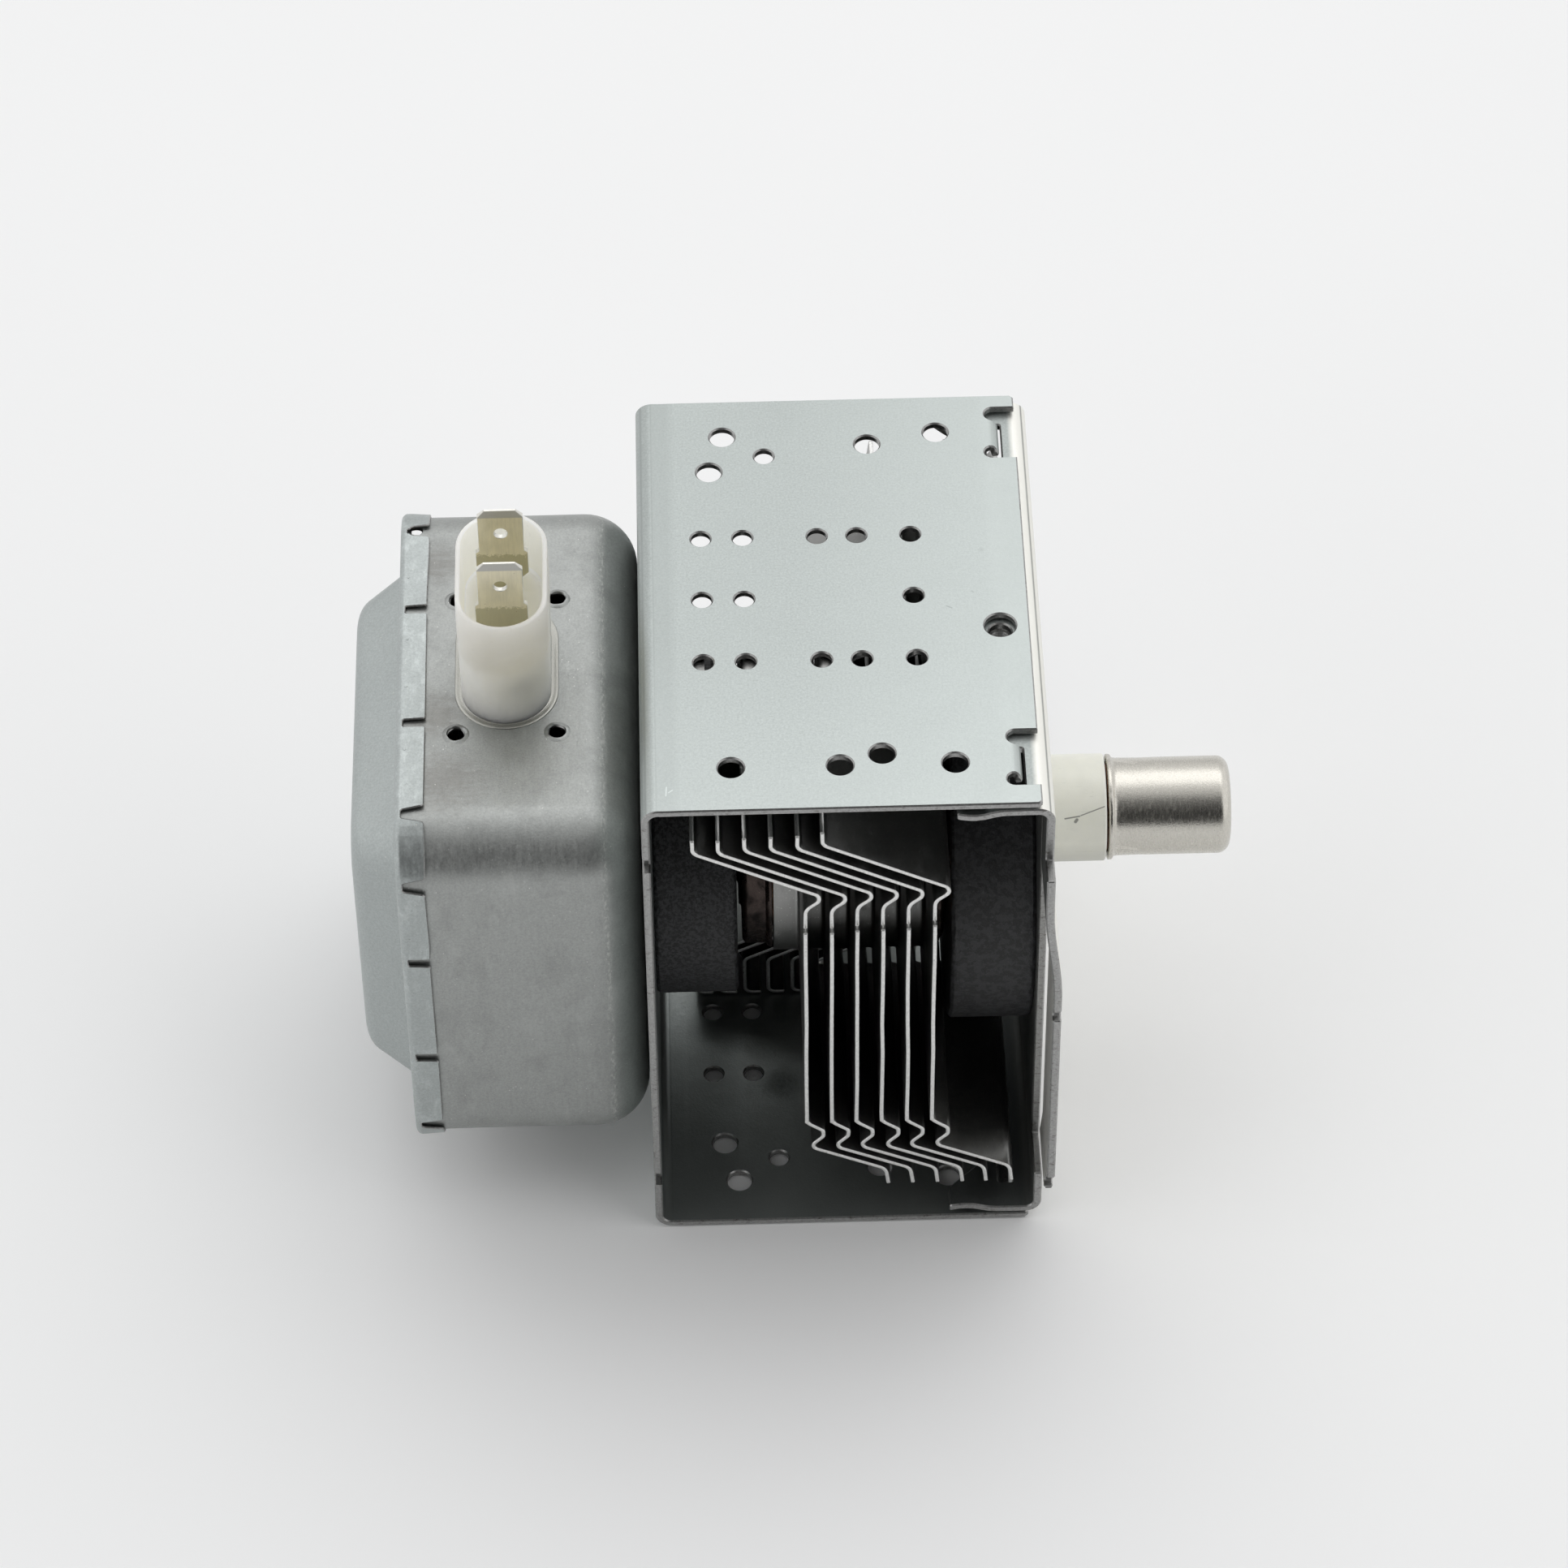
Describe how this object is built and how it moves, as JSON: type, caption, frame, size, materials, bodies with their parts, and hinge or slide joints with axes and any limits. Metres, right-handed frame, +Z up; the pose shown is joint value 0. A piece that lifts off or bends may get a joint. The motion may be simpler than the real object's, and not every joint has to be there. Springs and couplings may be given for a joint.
{
  "type": "microwave oven magnetron",
  "caption": "Microwave oven magnetron with a folded steel yoke around ring magnets and bent cooling fins, an antenna cap at one end and a filter box with a plug socket at the other.",
  "frame": {"origin": "middle of the yoke's lower wall, on the face the part lies on", "axes": "+X along the tube's axis towards the antenna, +Z up from the face it lies on, -Y towards the front open side of the yoke"},
  "size_m": [0.1259, 0.0882, 0.1035],
  "materials": {
    "zinc_steel": "satin zinc plate",
    "case_zinc": "satin zinc plate",
    "lid_zinc": "satin zinc plate",
    "magnet_ferrite": "matt speckled",
    "fin_aluminium": "rolled sheet",
    "copper": "bare",
    "soft_steel": "bare",
    "oxidised_seal": "dark, glossy",
    "molybdenum": "bare",
    "tungsten": "bare",
    "alumina": "bisque",
    "nickel": "satin",
    "socket_plastic": "semi-gloss",
    "tinned_brass": "tarnished tin plate",
    "capacitor_resin": "matt",
    "enamelled_wire": "enamelled"
  },
  "bodies": {
    "root": {"yoke_channel": "zinc_steel", "closing_plate": "zinc_steel", "filter_side_magnet": "magnet_ferrite", "antenna_side_magnet": "magnet_ferrite", "cooling_fin_1": "fin_aluminium", "cooling_fin_2": "fin_aluminium", "cooling_fin_3": "fin_aluminium", "cooling_fin_4": "fin_aluminium", "cooling_fin_5": "fin_aluminium", "cooling_fin_6": "fin_aluminium", "anode_shell": "copper", "anode_vane_01": "copper", "anode_vane_02": "copper", "anode_vane_03": "copper", "anode_vane_04": "copper", "anode_vane_05": "copper", "anode_vane_06": "copper", "anode_vane_07": "copper", "anode_vane_08": "copper", "anode_vane_09": "copper", "anode_vane_10": "copper", "strap_ring_left_inner": "copper", "strap_ring_left_outer": "copper", "strap_ring_right_inner": "copper", "strap_ring_right_outer": "copper", "pole_piece_filter_side": "soft_steel", "pole_piece_antenna_side": "soft_steel", "seal_cup_filter_side": "oxidised_seal", "seal_cup_antenna_side": "oxidised_seal", "filament": "tungsten", "cathode_hat_left": "molybdenum", "cathode_hat_right": "molybdenum", "cathode_centre_lead": "molybdenum", "cathode_side_lead": "molybdenum", "stem_ceramic": "alumina", "antenna_ceramic": "alumina", "antenna_cap": "nickel", "exhaust_tube": "copper", "antenna_lead": "copper", "filter_case": "case_zinc", "filter_lid": "lid_zinc", "connector_body": "socket_plastic", "connector_collar": "tinned_brass", "capacitor_block": "capacitor_resin", "terminal_tab_1": "tinned_brass", "terminal_tab_2": "tinned_brass", "choke_coil_1": "enamelled_wire", "choke_coil_2": "enamelled_wire", "choke_core_1": "magnet_ferrite", "choke_core_2": "magnet_ferrite"}
  },
  "joints": []
}
